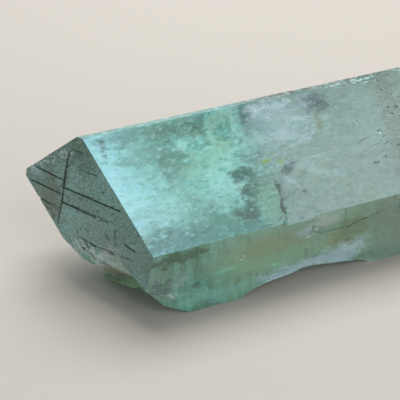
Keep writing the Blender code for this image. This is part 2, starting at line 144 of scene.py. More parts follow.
# Growth face, its outward direction, a point on it and how deep its grooves, steps and pits go
GROWTH_FACES = (
    ("end_face", END_OUT, TOP_CORNER, 0.4),
    ("main_face", outward(MAIN_FACE_LEAN), TOP_CORNER, 0.75),
    ("side_face", outward(SIDE_FACE_LEAN), FRONT_EDGE, 0.45),
    ("top_strip", outward(TOP_STRIP_LEAN), TOP_CORNER, 0.3),
    ("back_face", outward(BACK_FACE_LEAN), BACK_EDGE, 0.3),
    ("under_face", outward(UNDER_FACE_LEAN), UNDER_EDGE, 0.3),
)
SAME_DIRECTION = math.cos(math.radians(3.0))

# The etched grooves: depth from which they are dark, how dark their borders are, and how far the
# sides of a groove lean at least. Beyond its lower rim the end face has chips instead of grooves.
GROOVE_DEPTH = 0.16
GROOVE_BORDER = 0.6
GROOVE_SIDE = 0.6
LOWER_RIM = 23.9
LOWER_RIM_SLOPE = 0.8

# How long the triangles' edges may be on each face and on the broken surface, against the setting
EDGE_FACTORS = {
    "end_face": 0.6, "main_face": 1.1, "side_face": 1.1, "top_strip": 1.0, "back_face": 1.6, "under_face": 1.6}
BREAK_FACTOR = 1.0

# Edges shorter than this, and faces thinner than it, are closed up before the mesh is refined
SLIVER = 0.005

# Clouds, stains and cracks inside or on the crystal, with painted glints, reflections, shade and shadow
# among them: surface, place along and down it, half length and half width, in millimetres, turn in degrees,
# colour, strength, and how much its border breaks up. On the end face the place is down from its top corner
# and in from the main face. On broken surface it is along the crystal and up from the table.
CLOUDS = (
    ("main", (11.0, 6.0), (7.0, 4.0), 20, "sea", 0.5, 1.3),
    ("main", (12.6, 7.4), (2.2, 3.6), 0, "shade", 0.6, 1.0),
    ("main", (6.6, 17.0), (3.4, 1.6), 20, "sea", 0.35, 1.6),
    ("main", (5.4, 1.0), (4.0, 1.3), 0, "shade", 0.4, 1.4),
    ("main", (16.4, 7.4), (3.0, 1.6), 20, "shade", 0.4, 2.2),
    ("main", (9.5, 4.6), (4.0, 1.6), 0, "shade", 0.4, 1.6),
    ("main", (19.0, 8.6), (4.2, 3.4), -20, "mint", 0.6, 1.4),
    ("main", (12.0, 13.2), (8.5, 2.6), 0, "haze", 0.35, 2.4),
    ("main", (13.6, 11.6), (5.6, 2.0), 8, "sea", 0.4, 2.4),
    ("main", (16.6, 14.6), (3.0, 1.2), -8, "sea", 0.45, 2.4),
    ("main", (20.5, 13.0), (3.4, 4.2), 10, "haze", 0.9, 1.3),
    ("main", (16.4, 1.9), (7.0, 1.6), 0, "moss", 0.55, 1.5),
    ("main", (15.0, 4.4), (0.9, 0.8), 0, "haze", 0.8, 1.8),
    ("main", (20.0, 3.8), (0.8, 3.0), 4, "mint", 0.6, 1.2),
    ("main", (21.6, 5.4), (1.3, 1.7), 0, "fern", 0.5, 1.0),
    ("main", (22.4, 1.2), (1.2, 1.2), 0, "mint", 0.5, 1.2),
    ("main", (23.2, 3.0), (0.4, 2.0), 0, "shade", 0.4, 0.8),
    ("main", (24.2, 3.0), (0.45, 2.4), 0, "mint", 0.6, 0.8),
    ("main", (13.0, 17.4), (13.0, 2.8), 0, "sea", 0.5, 2.0),
    ("main", (13.0, 19.3), (14.0, 2.0), 0, "deep_blue", 0.85, 1.2),
    ("main", (3.4, 18.8), (3.0, 2.0), 60, "deep_blue", 0.65, 1.2),
    ("main", (19.0, 18.6), (5.0, 1.8), 0, "sea", 0.6, 1.2),
    ("main", (26.4, 2.3), (1.0, 2.8), 0, "slate", 0.85, 1.2),
    ("main", (28.8, 4.4), (1.7, 0.8), 35, "slate", 0.65, 1.8),
    ("main", (22.9, 11.2), (2.1, 1.0), 6, "slate", 0.9, 1.2),
    ("main", (24.8, 12.0), (1.9, 1.0), 20, "slate", 0.6, 2.0),
    ("main", (24.3, 14.6), (1.7, 1.6), 60, "slate", 0.85, 1.6),
    ("main", (25.6, 13.6), (2.4, 0.7), -10, "slate", 0.6, 2.4),
    ("main", (22.6, 17.4), (2.2, 1.5), 20, "slate", 0.95, 0.9),
    ("main", (25.6, 8.6), (1.9, 0.8), -10, "slate", 0.5, 2.2),
    ("main", (26.5, 16.6), (2.2, 3.4), 0, "fern", 0.55, 0.9),
    ("main", (31.3, 11.9), (1.4, 0.75), -35, "slate", 0.95, 0.8),
    ("main", (27.6, 10.0), (0.75, 0.32), 0, "lichen", 0.85, 1.4),
    ("main", (30.2, 10.4), (0.4, 0.5), 0, "lichen", 0.85, 1.4),
    ("main", (37.4, 3.6), (3.4, 1.8), 0, "white_and_glint", 0.4, 2.4),
    ("main", (38.7, 2.6), (2.3, 1.6), -6, "ink", 0.85, 1.0),
    ("main", (36.2, 1.6), (1.9, 0.7), 0, "ink", 0.5, 2.0),
    ("main", (38.4, 5.4), (0.6, 1.6), 0, "olive", 0.7, 1.2),
    ("main", (32.0, 4.6), (6.0, 4.4), 0, "ice_and_reflection", 0.35, 0.8),
    ("main", (31.0, 1.6), (5.0, 1.0), 0, "ice_and_reflection", 0.5, 1.6),
    ("main", (32.0, 0.9), (5.0, 0.7), 0, "white_and_glint", 0.6, 2.2),
    ("main", (42.5, 4.0), (3.4, 1.4), 0, "slate", 0.25, 1.8),
    ("main", (2.6, 2.6), (0.45, 1.1), 0, "ink", 0.6, 2.4),
    ("main", (32.0, 6.4), (3.6, 1.8), 0, "ice_and_reflection", 0.25, 1.2),
    ("main", (36.0, 13.4), (4.4, 0.7), 24, "ice_and_reflection", 0.35, 1.0),
    # Painted shadow: these crack rows darken the step across the main face at about 28.5 mm along
    ("main", (28.4, 14.3), (0.50, 0.7), -10, "crack_shadow", 0.9, 1.4),
    ("main", (28.6, 15.6), (0.26, 1.1), -8, "crack_shadow", 0.95, 1.2),
    ("main", (28.4, 17.0), (0.26, 0.8), 20, "crack_shadow", 0.95, 1.2),
    ("main", (28.4, 18.4), (0.34, 1.0), -4, "crack_shadow", 0.95, 1.2),
    ("main", (27.5, 19.5), (0.9, 0.2), -38, "crack_shadow", 0.75, 1.0),
    ("main", (31.2, 14.2), (1.7, 0.34), 48, "ice_and_reflection", 0.4, 1.0),
    ("main", (32.7, 16.0), (0.5, 0.4), 20, "crack_shadow", 0.6, 1.6),
    ("main", (49.0, 11.7), (0.6, 0.2), -20, "crack_shadow", 0.7, 1.4),
    ("main", (46.4, 14.4), (0.5, 0.18), 10, "crack_shadow", 0.8, 1.2),
    ("main", (25.4, 20.1), (1.8, 0.1), 8, "crack_shadow", 0.45, 0.9),
    ("main", (28.9, 16.0), (0.7, 2.4), 0, "slate", 0.4, 1.6),
    ("main", (30.2, 12.2), (1.0, 0.16), -40, "crack_shadow", 0.55, 0.6),
    ("main", (36.0, 10.9), (5.0, 0.14), -2, "ice_and_reflection", 0.5, 0.9),
    ("main", (44.9, 10.3), (1.3, 0.13), -22, "crack_shadow", 0.65, 0.6),
    ("main", (46.8, 11.6), (2.6, 0.1), -14, "crack_shadow", 0.5, 1.0),
    ("side", (4.4, 5.0), (4.6, 6.0), 0, "frost", 0.6, 1.6),
    ("side", (9.6, 1.4), (5.2, 1.4), 0, "moss", 0.8, 1.3),
    # Painted glints on the frosted left end of the side face
    ("side", (8.4, 7.0), (2.2, 1.1), -15, "white_and_glint", 0.9, 2.2),
    ("side", (8.0, 8.8), (1.5, 0.5), -15, "white_and_glint", 1.0, 1.6),
    ("side", (6.6, 6.4), (1.6, 1.4), 0, "ink", 0.6, 2.6),
    ("side", (15.0, 7.0), (5.4, 2.4), 0, "sea", 0.6, 1.0),
    ("side", (12.6, 7.8), (0.7, 0.6), 0, "ink", 0.7, 1.6),
    ("side", (21.5, 5.4), (6.4, 3.2), 0, "leaf", 0.7, 0.9),
    ("side", (26.5, 3.6), (5.6, 2.2), 0, "tan", 0.6, 0.9),
    ("side", (20.0, 4.6), (0.8, 0.35), 0, "white_and_glint", 0.9, 1.2),
    ("side", (17.0, 10.6), (9.0, 1.4), 0, "haze", 0.3, 1.4),
    ("side", (31.0, 6.2), (3.6, 1.6), 0, "leaf", 0.4, 1.2),
    ("side", (34.4, 2.2), (3.6, 1.8), 0, "frost", 0.7, 0.9),
    ("side", (31.2, 2.8), (1.6, 0.8), 0, "ice_and_reflection", 0.5, 1.4),
    ("side", (37.4, 6.0), (2.6, 1.4), 0, "tan", 0.6, 1.2),
    # Painted reflection: these ice and white rows along the lower edge of the side face, and on the flake scar below
    # it, paint light mirrored in the up-facing hollow
    ("side", (31.4, 9.8), (7.6, 1.2), -4, "ice_and_reflection", 0.95, 1.0),
    ("side", (33.4, 9.6), (6.0, 1.1), -4, "white_and_glint", 1.0, 1.4),
    ("side", (40.6, 8.0), (3.0, 1.1), -30, "ice_and_reflection", 0.8, 1.2),
    ("side", (40.6, 8.0), (1.8, 1.1), -30, "white_and_glint", 0.9, 1.8),
    ("break", (34.0, 3.2), (9.0, 1.6), 0, "ice_and_reflection", 0.95, 1.0),
    ("break", (38.4, 2.8), (2.8, 1.6), 0, "ice_and_reflection", 1.0, 0.4),
    ("break", (34.4, 3.0), (7.0, 1.2), 0, "white_and_glint", 0.9, 1.6),
    # Painted shade: darkens the up-facing flake on the ridge near the root, which the key light catches
    ("break", (46.6, 25.2), (8.0, 3.0), 0, "shade", 1.0, 0.4),
    ("break", (44.0, 25.4), (3.4, 1.4), 0, "white_and_glint", 0.6, 2.4),
    # Painted reflection on the lower edge of the side face
    ("side", (37.4, 8.9), (3.4, 1.4), -12, "ice_and_reflection", 0.9, 1.2),
    ("side", (38.4, 10.4), (2.4, 1.2), 0, "ice_and_reflection", 1.0, 0.5),
    ("side", (38.6, 8.6), (2.2, 1.2), -12, "white_and_glint", 1.0, 1.0),
    ("side", (40.0, 4.6), (2.8, 2.6), -20, "olive", 0.6, 1.4),
    ("side", (45.0, 5.0), (3.6, 2.4), 0, "olive", 0.2, 1.6),
    ("side", (48.0, 11.0), (4.0, 2.0), 0, "frost", 0.6, 1.4),
    ("side", (33.1, 2.0), (0.16, 1.1), 6, "crack_shadow", 0.8, 0.6),
    ("side", (32.0, 3.9), (0.9, 0.3), -20, "white_and_glint", 1.0, 0.8),
    ("side", (35.4, 1.6), (2.8, 1.3), 0, "chalk", 0.55, 1.2),
    ("end", (2.4, 2.6), (3.0, 1.6), 0, "moss", 0.5, 1.4),
    ("end", (3.6, 12.6), (2.6, 1.6), 45, "moss", 0.35, 1.4),
    ("end", (8.4, 7.6), (3.6, 1.7), -45, "lilac", 0.5, 1.2),
    ("end", (1.2, 13.4), (2.2, 1.2), -45, "lilac", 0.5, 1.2),
    ("end", (-1.0, 12.6), (1.6, 1.0), -45, "ice_and_reflection", 0.5, 2.4),
    ("end", (-0.6, 8.0), (0.7, 5.0), 12, "white_and_glint", 1.0, 2.0),
    ("end", (-0.5, 5.4), (0.8, 1.8), 20, "white_and_glint", 1.0, 1.4),
    ("end", (4.6, 13.2), (3.6, 3.0), 30, "umber", 0.65, 1.2),
    ("end", (13.0, 3.4), (6.0, 3.0), 0, "sea", 0.2, 1.0),
    ("end", (14.0, 8.0), (4.6, 4.0), -40, "frost", 0.75, 1.2),
    ("end", (14.6, 11.0), (3.8, 1.6), -45, "frost", 0.7, 1.8),
    ("end", (15.7, 12.2), (3.4, 1.5), -48, "chalk", 0.95, 1.5),
    ("end", (17.4, 7.6), (2.4, 1.4), -60, "chalk", 0.6, 1.8),
    # Painted highlights on the chips of the end face's rim
    ("end", (15.4, 11.0), (3.8, 1.6), -48, "white_and_glint", 0.9, 1.6),
    ("end", (20.0, 4.2), (3.4, 2.2), -60, "frost", 0.7, 1.2),
    ("end", (18.4, 3.0), (0.8, 0.6), 0, "white_and_glint", 0.9, 1.4),
    ("end", (3.6, 9.4), (3.4, 0.5), 65, "near_black", 0.5, 2.4),
    ("end", (0.5, 10.7), (3.5, 0.15), -40, "near_black", 0.9, 0.8),
    ("end", (2.1, 12.8), (3.5, 0.15), -40, "near_black", 0.9, 0.8),
    ("end", (8.3, 5.2), (5.9, 0.15), -44, "near_black", 0.9, 0.9),
    ("end", (9.5, 7.6), (5.4, 0.14), -45, "near_black", 0.9, 0.9),
    ("end", (2.0, 6.4), (3.0, 0.16), 57, "near_black", 0.7, 1.3),
    ("end", (6.2, 12.2), (4.3, 0.16), 53, "near_black", 0.7, 1.2),
    ("end", (3.9, 14.7), (1.5, 0.14), -38, "near_black", 0.9, 0.8),
    ("end", (5.3, 15.0), (1.0, 0.14), -30, "near_black", 0.8, 0.8),
    ("end", (11.0, 11.8), (1.0, 0.14), 28, "near_black", 0.9, 1.0),
    ("end", (13.4, 11.0), (2.0, 0.18), -40, "near_black", 0.9, 1.2),
    ("end", (14.3, 6.6), (0.9, 0.14), 6, "near_black", 0.8, 1.0),
    ("end", (18.4, 3.2), (1.0, 0.14), -41, "near_black", 0.8, 1.0),
    ("end", (14.2, 12.6), (0.6, 0.35), -40, "near_black", 0.9, 1.0),
    ("end", (15.8, 8.8), (1.4, 0.16), -50, "near_black", 0.8, 1.2),
    ("end", (19.2, 5.2), (1.4, 0.14), -50, "near_black", 0.6, 1.4),
    ("end", (17.2, 7.5), (0.6, 0.3), -40, "near_black", 0.9, 1.0),
    ("break", (-1.8, 8.2), (4.8, 2.2), -15, "chalk", 0.95, 1.1),
    # Painted highlights on the chipped rim below the end face
    ("break", (-1.8, 7.6), (4.4, 1.8), -15, "white_and_glint", 0.9, 2.2),
    ("break", (-1.8, 7.4), (4.0, 0.3), -15, "near_black", 0.6, 1.8),
    ("break", (1.4, 5.7), (2.6, 0.8), 0, "rust", 0.8, 1.0),
    ("break", (2.6, 3.4), (3.2, 2.2), 0, "bottle", 0.95, 0.5),
    ("break", (3.4, 4.0), (1.8, 1.2), 0, "leaf", 0.45, 0.8),
    ("break", (2.6, 3.2), (2.6, 0.4), 0, "tan", 0.6, 1.2),
)

COLOURS = {
    "haze": "#a9efe9",
    "sea": "#62ac9c",
    "mint": "#9fe0c9",
    "shade": "#467d70",
    "moss": "#43643f",
    "deep_blue": "#2f7f7d",
    "slate": "#2f6157",
    "leaf": "#a4cca6",
    "fern": "#86c0a0",
    "lichen": "#8fb53c",
    "ink": "#46565f",
    "rust": "#8d7a4a",
    "tan": "#aab18a",
    "olive": "#7f8558",
    "frost": "#9cb4aa",
    # Pale chips and specks, and painted glints and highlights
    "white_and_glint": "#e6f5fa",
    # Pale blue clouds, and painted reflection on the side face's lower edge
    "ice_and_reflection": "#c9e4f5",
    "lilac": "#77858c",
    "umber": "#7f7a68",
    # Dark cracks, and painted shadow along steps
    "crack_shadow": "#2f4038",
    "near_black": "#23261d",
    "chalk": "#e2ebe3",
    "bottle": "#425a33",
}


def welded_copy(name):
    """The node's mesh with its loose triangles joined, in millimetres."""
    shape = bmesh.new()
    shape.from_mesh(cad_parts[name].data)
    bmesh.ops.scale(shape, vec=(1 / MM,) * 3, verts=shape.verts[:])
    bmesh.ops.remove_doubles(shape, verts=shape.verts[:], dist=0.003)
    return shape


def in_groove(face):
    """Whether a face just below the end face is the side of an etched groove, and not a chip."""
    place = face.calc_center_median() - TOP_CORNER
    within_rim = place.dot(END_DOWN) + LOWER_RIM_SLOPE * place.dot(END_IN) < LOWER_RIM
    return within_rim and face.normal.dot(END_OUT) < GROOVE_SIDE


def mark_growth_faces(shape):
    """Store on each triangle which flat growth face it belongs to, with the walls of that face's
    grooves, steps and pits. The rest is broken surface."""
    layers = {name: shape.faces.layers.float.new(name) for name, *_ in GROWTH_FACES}
    for face in shape.faces:
        middle = face.calc_center_median()
        below = {name: (point - middle).dot(direction) for name, direction, point, _ in GROWTH_FACES}
        for name, direction, _, deep in GROWTH_FACES:
            if abs(below[name]) > deep:
                continue
            inside = all(below[other] > 0.5 for other in below if other != name)
            if name == "end_face":
                inside = inside and in_groove(face)
            if inside or face.normal.dot(direction) > SAME_DIRECTION:
                face[layers[name]] = 1.0
                break


def slice_up(shape, spacing):
    """Cut the faces by planes at even spacing in three directions, so that no triangle is very long."""
    for direction in (Vector((1, 0, 0)), downhill(MAIN_FACE_LEAN), outward(MAIN_FACE_LEAN)):
        reach = [vert.co.dot(direction) for vert in shape.verts]
        place = min(reach) + spacing / 2
        while place < max(reach):
            everything = shape.verts[:] + shape.edges[:] + shape.faces[:]
            bmesh.ops.bisect_plane(shape, geom=everything, plane_co=direction * place, plane_no=direction)
            place += spacing


def refine(shape, longest):
    """Split long edges in passes, on each kind of surface down to its own length."""
    layers = [(shape.faces.layers.float[name], factor) for name, factor in EDGE_FACTORS.items()]

    def factor_of(face):
        return next((factor for layer, factor in layers if face[layer]), BREAK_FACTOR)

    for limit in (longest * 4, longest * 2, longest):
        for _ in range(8):
            long_edges = [edge for edge in shape.edges
                          if edge.calc_length() > limit * min(factor_of(face) for face in edge.link_faces)]
            if not long_edges:
                break
            bmesh.ops.subdivide_edges(shape, edges=long_edges, cuts=1)
            bmesh.ops.triangulate(shape, faces=[face for face in shape.faces if len(face.verts) > 3])


def smooth_breaks(shape, rounds):
    """Ease the facets of the broken surfaces, between their crisp edges."""
    growth = [shape.faces.layers.float[name] for name, *_ in GROWTH_FACES]
    inner = [vert for vert in shape.verts
             if all(edge.smooth for edge in vert.link_edges)
             and not any(face[layer] for face in vert.link_faces for layer in growth)]
    for _ in range(rounds):
        bmesh.ops.smooth_vert(shape, verts=inner, factor=0.5, use_axis_x=True, use_axis_y=True, use_axis_z=True)


def crystal_mesh(settings):
    """The solid's surface in fine triangles, with its growth faces and etched hollows marked."""
    shape = welded_copy("crystal")
    bmesh.ops.dissolve_limit(shape, angle_limit=math.radians(0.2), verts=shape.verts[:], edges=shape.edges[:])
    slice_up(shape, 2.4)
    bmesh.ops.dissolve_degenerate(shape, dist=SLIVER, edges=shape.edges[:])
    bmesh.ops.triangulate(shape, faces=shape.faces[:])
    bmesh.ops.dissolve_degenerate(shape, dist=SLIVER, edges=shape.edges[:])
    bmesh.ops.triangulate(shape, faces=[face for face in shape.faces if len(face.verts) > 3])
    mark_growth_faces(shape)
    for edge in shape.edges:
        edge.smooth = edge.calc_face_angle(3.1) < settings.arris_angle
    refine(shape, settings.finest_edge / MM)
    smooth_breaks(shape, 6)
    hollow = shape.verts.layers.float.new("hollow")
    end_face = shape.faces.layers.float["end_face"]
    for vert in shape.verts:
        if any(face[end_face] and face.normal.dot(END_OUT) < GROOVE_SIDE for face in vert.link_faces):
            depth = (TOP_CORNER - vert.co).dot(END_OUT)
            vert[hollow] = min(max(depth / GROOVE_DEPTH, GROOVE_BORDER), 1.0)
    bmesh.ops.scale(shape, vec=(MM,) * 3, verts=shape.verts[:])
    mesh = bpy.data.meshes.new("crystal_surface")
    shape.to_mesh(mesh)
    shape.free()
    mesh.validate()
    return mesh


def relief_tree(settings):
    """Geometry nodes that lift and sink the surface by noise: hackly on the breaks, pitted on the
    etched end face and hardly rippled on the glassy growth faces."""
    tree = bpy.data.node_groups.new("crystal_relief", "GeometryNodeTree")
    face = tree.interface
    face.new_socket("Geometry", in_out="INPUT", socket_type="NodeSocketGeometry")
    for name, value in (("Break relief", settings.break_relief), ("Etch relief", settings.etch_relief),
                        ("Growth ripple", settings.growth_ripple)):
        socket = face.new_socket(name, in_out="INPUT", socket_type="NodeSocketFloat")
        socket.default_value = value
    face.new_socket("Material", in_out="INPUT", socket_type="NodeSocketMaterial")
    face.new_socket("Geometry", in_out="OUTPUT", socket_type="NodeSocketGeometry")
    given = add(tree, "NodeGroupInput").outputs
    place = add(tree, "ShaderNodeVectorMath", {0: add(tree, "GeometryNodeInputPosition").outputs[0], "Scale": 1 / MM},
                operation="SCALE").outputs[0]

    def noise(size, detail, stretch=(1, 1, 1)):
        """Noise from -0.5 to 0.5 whose lumps are about the given size in millimetres."""
        where = add(tree, "ShaderNodeVectorMath", {0: place, 1: [part / size for part in stretch]},
                    operation="MULTIPLY").outputs[0]
        value = add(tree, "ShaderNodeTexNoise", {"Vector": where, "Scale": 1.0, "Detail": detail}).outputs[0]
        return calc("SUBTRACT", value, 0.5)

    def calc(operation, first, second):
        return add(tree, "ShaderNodeMath", {0: first, 1: second}, operation=operation).outputs[0]

    def mask(name):
        return add(tree, "GeometryNodeInputNamedAttribute", {"Name": name}, data_type="FLOAT").outputs[0]

    glassy = mask("main_face")
    for name in ("side_face", "top_strip", "back_face", "under_face"):
        glassy = calc("ADD", glassy, mask(name))
    etched = mask("end_face")
    broken = calc("MAXIMUM", calc("SUBTRACT", calc("SUBTRACT", 1.0, glassy), etched), 0.0)
    hackly = calc("ADD", noise(2.6, 3.0), calc("MULTIPLY", noise(0.9, 2.0), 0.6))
    pitted = calc("MINIMUM", calc("ADD", noise(1.1, 3.0), 0.05), 0.02)
    rippled = calc("ADD", noise(1.6, 2.0, (0.25, 1, 1)), calc("MULTIPLY", noise(7.0, 1.0), 1.2))
    lift = calc("MULTIPLY", calc("MULTIPLY", hackly, broken), given["Break relief"])
    lift = calc("ADD", lift, calc("MULTIPLY", calc("MULTIPLY", pitted, etched), given["Etch relief"]))
    lift = calc("ADD", lift, calc("MULTIPLY", calc("MULTIPLY", rippled, glassy), given["Growth ripple"]))
    height = add(tree, "ShaderNodeSeparateXYZ", {0: place}).outputs[2]
    above_table = add(tree, "ShaderNodeMapRange", {"Value": height, "From Min": 0.02, "From Max": 0.8}).outputs[0]
    lift = calc("MULTIPLY", lift, above_table)
    offset = add(tree, "ShaderNodeVectorMath", {0: add(tree, "GeometryNodeInputNormal").outputs[0], "Scale": lift},
                 operation="SCALE").outputs[0]
    moved = add(tree, "GeometryNodeSetPosition", {"Geometry": given["Geometry"], "Offset": offset}).outputs[0]
    real = add(tree, "GeometryNodeRealizeInstances", {"Geometry": moved}).outputs[0]
    coloured = add(tree, "GeometryNodeSetMaterial", {"Geometry": real, "Material": given["Material"]}).outputs[0]
    add(tree, "NodeGroupOutput", {"Geometry": coloured})
    return tree


def spodumene(settings):
    """Hiddenite, the green gem kind of spodumene, as it grew: glassy on the growth faces, frosted by
    etching on its end and on the breaks. Its veils and clouds give the eye a milky depth, and the
    stone between them is see-through."""
    material = bpy.data.materials.new("hiddenite_spodumene")
    material.use_nodes = True
    tree = material.node_tree
    tree.nodes.clear()
    place = add(tree, "ShaderNodeTexCoord").outputs["Object"]
    place = add(tree, "ShaderNodeVectorMath", {0: place, "Scale": 1 / MM}, operation="SCALE").outputs[0]

    def calc(operation, first, second=0.0, third=0.0):
        return add(tree, "ShaderNodeMath", {0: first, 1: second, 2: third}, operation=operation).outputs[0]

    def vector(operation, first, second):
        return add(tree, "ShaderNodeVectorMath", {0: first, 1: second}, operation=operation).outputs[0]

    def noise(size, detail=3.0, stretch=(1, 1, 1), roughness=0.5, output=0):
        where = vector("MULTIPLY", place, [part / size for part in stretch])
        return add(tree, "ShaderNodeTexNoise",
                   {"Vector": where, "Scale": 1.0, "Detail": detail, "Roughness": roughness}).outputs[output]

    def band(value, low, high, smooth=True):
        """0 below low, 1 above high."""
        return add(tree, "ShaderNodeMapRange", {"Value": value, "From Min": low, "From Max": high},
                   interpolation_type="SMOOTHSTEP" if smooth else "LINEAR").outputs[0]

    def mix(amount, first, second):
        return add(tree, "ShaderNodeMix", {0: amount, 6: first, 7: second}, data_type="RGBA").outputs[2]

    def mask(name):
        return add(tree, "ShaderNodeAttribute", attribute_name=name).outputs["Fac"]

    main, side, end = mask("main_face"), mask("side_face"), mask("end_face")
    strip = mask("top_strip")
    away = calc("ADD", mask("back_face"), mask("under_face"))
    hollow = mask("hollow")
    from_corner = vector("SUBTRACT", place, TOP_CORNER)
    along = add(tree, "ShaderNodeSeparateXYZ", {0: from_corner}).outputs[0]
    warp = vector("SUBTRACT", noise(1.6, 3.0, roughness=0.6, output=1), (0.5, 0.5, 0.5))

    # Streaks run along the crystal, combs run down its faces, and mottles have no direction
    big = noise(6.5, 4.0, (0.6, 1, 1), 0.6)
    streaks = noise(1.1, 6.0, (0.3, 1, 1), 0.72)
    combs = noise(1.0, 4.0, (1, 0.22, 0.22), 0.65)
    mottles = noise(1.5, 7.0, (0.8, 1, 1), 0.74)
    fine = noise(0.42, 3.0, roughness=0.7)
    mottled = calc("MULTIPLY_ADD", streaks, 0.4, calc("MULTIPLY", mottles, 0.6))
    to_root = band(calc("MULTIPLY_ADD", mottled, 9.0, along), 25.0, 36.0)

    body = mix(band(big, 0.40, 0.60), linear(settings.grey_green), linear(settings.turquoise))
    body = mix(band(mottled, 0.44, 0.60), body, linear(settings.veil))
    body = mix(calc("MULTIPLY", band(mottled, 0.50, 0.40), 0.55), body, linear(settings.grey_green))
    crinkles = noise(0.6, 5.0, (0.6, 1, 1), 0.7)
    body = mix(calc("MULTIPLY", band(crinkles, 0.50, 0.62), 0.65), body, linear(settings.veil))
    body = mix(calc("MULTIPLY", band(crinkles, 0.47, 0.36), 0.55), body, linear(settings.grey_green))
    pale = mix(band(big, 0.35, 0.65), linear(settings.root_grey), linear(settings.root_green))
    pale = mix(calc("MULTIPLY", band(mottled, 0.46, 0.62), 0.5), pale, linear(settings.root_veil))
    pale = mix(calc("MULTIPLY", band(combs, 0.44, 0.36), 0.22), pale, linear(settings.flank_grey))
    back = mix(band(calc("MULTIPLY_ADD", mottled, 30.0, along), 26.0, 60.0), body, pale)
    back = mix(0.25, back, linear(settings.grey_green))
    body = mix(to_root, body, pale)
    # Painted glare: a milky white-cyan band on the main face beside the end face, strongest near their edge
    from_end = add(tree, "ShaderNodeVectorMath", {0: from_corner, 1: END_DOWN.cross(outward(MAIN_FACE_LEAN))},
                   operation="DOT_PRODUCT").outputs[1]
    painted_glare = calc("MULTIPLY", band(calc("MULTIPLY_ADD", mottled, -9.0, calc("ABSOLUTE", from_end)), 5.5, -2.5), main)
    body = mix(calc("MULTIPLY", painted_glare, settings.painted_glare), body, linear(settings.painted_glare_white))

    flank = mix(band(along, 12.0, 20.0), linear(settings.flank_green), linear(settings.flank_olive))
    flank = mix(band(along, 38.0, 50.0), flank, linear(settings.flank_grey))
    comb_side = calc("MULTIPLY", band(combs, 0.45, 0.66), band(along, 30.0, 12.0))
    flank = mix(calc("MULTIPLY", comb_side, 0.55), flank, linear(settings.veil))
    flank = mix(calc("MULTIPLY", band(combs, 0.46, 0.34), 0.5), flank, linear(settings.flank_dark))
    flank = mix(calc("MULTIPLY", band(mottled, 0.46, 0.64), 0.35), flank, linear(settings.veil))
    grain = noise(0.34, 4.0, roughness=0.8)
    etched = mix(band(grain, 0.40, 0.58), linear(settings.etched_dark), linear(settings.etched_light))
    etched = mix(calc("MULTIPLY", band(big, 0.42, 0.62), 0.5), etched, linear(settings.etched_green))
    etched = mix(calc("MULTIPLY", band(mottles, 0.50, 0.68), 0.45), etched, linear(COLOURS["frost"]))
    broken = mix(band(mottled, 0.38, 0.60), linear(settings.flank_green), linear(settings.break_pale))
    broken = mix(calc("MULTIPLY", band(fine, 0.5, 0.75), 0.5), broken, linear(COLOURS["white_and_glint"]))
    colour = mix(side, mix(main, broken, body), flank)
    ridge = mix(band(along, 20.0, 34.0), linear(settings.strip_white), linear(settings.strip_grey))
    ridge = mix(calc("MULTIPLY", band(mottled, 0.48, 0.38), 0.7), ridge, linear(settings.grey_green))
    ridge = mix(calc("MULTIPLY", band(crinkles, 0.50, 0.62), 0.45), ridge, linear(COLOURS["white_and_glint"]))
    colour = mix(strip, colour, ridge)
    colour = mix(calc("MULTIPLY", away, 0.85), colour, back)
    colour = mix(end, colour, etched)

    masks = {"main": main, "side": side, "end": end}
    places = {"main": on_main_face, "side": on_side_face, "end": on_end_face}
    masks["break"] = calc("SUBTRACT", 1.0, calc("MINIMUM", calc("ADD", calc("ADD", calc("ADD", main, side), end),
                                                                calc("ADD", strip, away)), 1.0))
    places["break"] = on_break
    flecks = band(noise(0.55, 3.0, (0.5, 1, 1), 0.6), 0.46, 0.60)
    for face, (first, second), (half_length, half_width), turn, kind, strength, ragged in CLOUDS:
        if face == "end":
            across, down = END_DOWN, END_IN
        elif face == "break":
            across, down = Vector((1, 0, 0)), Vector((0, 0, 1))
        else:
            across, down = Vector((1, 0, 0)), downhill(MAIN_FACE_LEAN if face == "main" else SIDE_FACE_LEAN)
        turned = math.radians(turn)
        length_axis = across * math.cos(turned) + down * math.sin(turned)
        width_axis = down * math.cos(turned) - across * math.sin(turned)
        wavy = add(tree, "ShaderNodeVectorMath",
                   {0: warp, 1: (0.3 + 1.1 * ragged * min(half_width, half_length),) * 3, 2: place},
                   operation="MULTIPLY_ADD").outputs[0]
        shifted = vector("SUBTRACT", wavy, places[face](first, second))
        reach = [add(tree, "ShaderNodeVectorMath", {0: shifted, 1: axis / half}, operation="DOT_PRODUCT").outputs[1]
                 for axis, half in ((length_axis, half_length), (width_axis, half_width))]
        distance = calc("SQRT", calc("MULTIPLY_ADD", reach[0], reach[0], calc("MULTIPLY", reach[1], reach[1])))
        cover = calc("SUBTRACT", calc("MULTIPLY_ADD", mottled, 5.0 * ragged, 1.0 - 2.5 * ragged), distance)
        amount = calc("MULTIPLY", calc("MULTIPLY", band(cover, -0.45, 0.55), masks[face]), strength)
        if kind == "white_and_glint":
            amount = calc("MULTIPLY", amount, flecks)
        colour = mix(amount, colour, linear(COLOURS[kind]))

    wisp = mix(to_root, linear(settings.veil), linear(settings.root_veil))
    colour = mix(calc("MULTIPLY", band(crinkles, 0.52, 0.64), calc("MULTIPLY", main, 0.4)), colour, wisp)
    colour = mix(calc("MULTIPLY", band(crinkles, 0.47, 0.36), calc("MULTIPLY", main, 0.35)), colour,
                 linear(COLOURS["shade"]))

